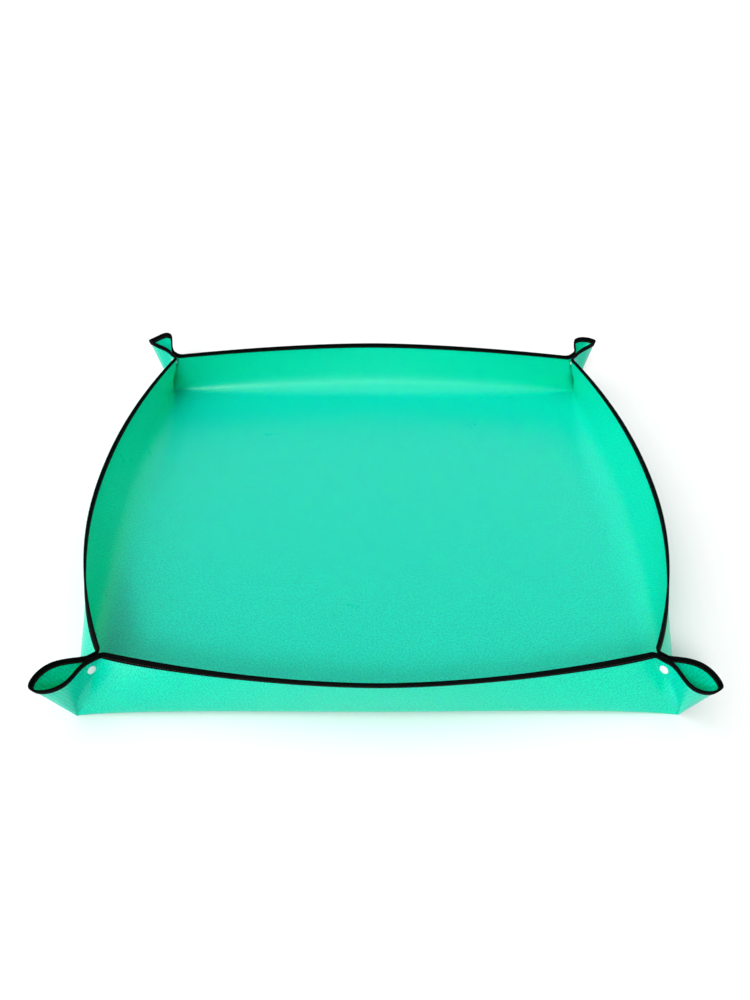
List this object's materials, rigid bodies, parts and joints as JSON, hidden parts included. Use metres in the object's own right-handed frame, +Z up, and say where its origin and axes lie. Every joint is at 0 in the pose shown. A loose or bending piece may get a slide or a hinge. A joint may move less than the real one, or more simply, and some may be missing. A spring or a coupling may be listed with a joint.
{
  "type": "repotting mat",
  "caption": "Square coated cloth mat for repotting plants, its sides folded up into a shallow tray and its corners pinched by snap fasteners into open ears.",
  "frame": {"origin": "centre of the floor panel's underside", "axes": "+Z up, +Y towards the back wall, +X towards the right wall"},
  "size_m": [0.907, 0.8908, 0.1122],
  "materials": {
    "cloth": "satin",
    "tape": "matte",
    "snap": "gloss"
  },
  "bodies": {
    "floor": {"floor_panel": "cloth"},
    "front_side": {"front_wall": "cloth", "front_wall_tape": "tape"},
    "back_side": {"back_wall": "cloth", "back_wall_tape": "tape"},
    "left_side": {"left_wall": "cloth", "left_wall_tape": "tape"},
    "right_side": {"right_wall": "cloth", "right_wall_tape": "tape"},
    "front_left_front_half": {"front_left_ear_front": "cloth", "front_left_ear_front_tape": "tape", "front_left_snap_cap_front": "snap", "front_left_snap_socket": "snap"},
    "front_left_side_half": {"front_left_ear_side": "cloth", "front_left_ear_side_tape": "tape", "front_left_snap_cap_side": "snap", "front_left_snap_stud": "snap"},
    "front_right_front_half": {"front_right_ear_front": "cloth", "front_right_ear_front_tape": "tape", "front_right_snap_cap_front": "snap", "front_right_snap_socket": "snap"},
    "front_right_side_half": {"front_right_ear_side": "cloth", "front_right_ear_side_tape": "tape", "front_right_snap_cap_side": "snap", "front_right_snap_stud": "snap"},
    "back_left_back_half": {"back_left_ear_back": "cloth", "back_left_ear_back_tape": "tape", "back_left_snap_cap_back": "snap", "back_left_snap_socket": "snap"},
    "back_left_side_half": {"back_left_ear_side": "cloth", "back_left_ear_side_tape": "tape", "back_left_snap_cap_side": "snap", "back_left_snap_stud": "snap"},
    "back_right_back_half": {"back_right_ear_back": "cloth", "back_right_ear_back_tape": "tape", "back_right_snap_cap_back": "snap", "back_right_snap_socket": "snap"},
    "back_right_side_half": {"back_right_ear_side": "cloth", "back_right_ear_side_tape": "tape", "back_right_snap_cap_side": "snap", "back_right_snap_stud": "snap"}
  },
  "joints": [
    {"name": "front_wall_fold", "type": "hinge", "parent": "floor", "child": "front_side", "pos_m": [0, -0.405, 0.0003], "axis": [1, 0, 0], "range_deg": [0, 70]},
    {"name": "back_wall_fold", "type": "hinge", "parent": "floor", "child": "back_side", "pos_m": [0, 0.405, 0.0003], "axis": [-1, 0, 0], "range_deg": [0, 70]},
    {"name": "left_wall_fold", "type": "hinge", "parent": "floor", "child": "left_side", "pos_m": [-0.405, 0, 0.0003], "axis": [0, -1, 0], "range_deg": [0, 50]},
    {"name": "right_wall_fold", "type": "hinge", "parent": "floor", "child": "right_side", "pos_m": [0.405, 0, 0.0003], "axis": [0, 1, 0], "range_deg": [0, 50]},
    {"name": "front_left_front_crease", "type": "hinge", "parent": "front_side", "child": "front_left_front_half", "pos_m": [-0.40468, -0.40532, 0.0003], "axis": [-0.4001, -0.3643, -0.8409], "range_deg": [0, 35]},
    {"name": "front_left_side_crease", "type": "hinge", "parent": "left_side", "child": "front_left_side_half", "pos_m": [-0.40532, -0.40468, 0.0003], "axis": [0.3643, 0.4001, 0.8409], "range_deg": [0, 25]},
    {"name": "front_right_front_crease", "type": "hinge", "parent": "front_side", "child": "front_right_front_half", "pos_m": [0.40468, -0.40532, 0.0003], "axis": [-0.4001, 0.3643, 0.8409], "range_deg": [0, 35]},
    {"name": "front_right_side_crease", "type": "hinge", "parent": "right_side", "child": "front_right_side_half", "pos_m": [0.40532, -0.40468, 0.0003], "axis": [0.3643, -0.4001, -0.8409], "range_deg": [0, 25]},
    {"name": "back_left_back_crease", "type": "hinge", "parent": "back_side", "child": "back_left_back_half", "pos_m": [-0.40468, 0.40532, 0.0003], "axis": [0.2625, -0.2258, 0.9381], "range_deg": [0, 35]},
    {"name": "back_left_side_crease", "type": "hinge", "parent": "left_side", "child": "back_left_side_half", "pos_m": [-0.40532, 0.40468, 0.0003], "axis": [-0.2258, 0.2625, -0.9381], "range_deg": [0, 25]},
    {"name": "back_right_back_crease", "type": "hinge", "parent": "back_side", "child": "back_right_back_half", "pos_m": [0.40468, 0.40532, 0.0003], "axis": [0.2625, 0.2258, -0.9381], "range_deg": [0, 35]},
    {"name": "back_right_side_crease", "type": "hinge", "parent": "right_side", "child": "back_right_side_half", "pos_m": [0.40532, 0.40468, 0.0003], "axis": [-0.2258, -0.2625, 0.9381], "range_deg": [0, 25]}
  ],
  "couplings": [
    {"joint": "front_left_front_crease", "follows": "front_wall_fold", "ratio": 0.5},
    {"joint": "front_right_front_crease", "follows": "front_wall_fold", "ratio": 0.5},
    {"joint": "back_left_back_crease", "follows": "back_wall_fold", "ratio": 0.5},
    {"joint": "back_right_back_crease", "follows": "back_wall_fold", "ratio": 0.5},
    {"joint": "front_left_side_crease", "follows": "left_wall_fold", "ratio": 0.5},
    {"joint": "back_left_side_crease", "follows": "left_wall_fold", "ratio": 0.5},
    {"joint": "front_right_side_crease", "follows": "right_wall_fold", "ratio": 0.5},
    {"joint": "back_right_side_crease", "follows": "right_wall_fold", "ratio": 0.5}
  ]
}
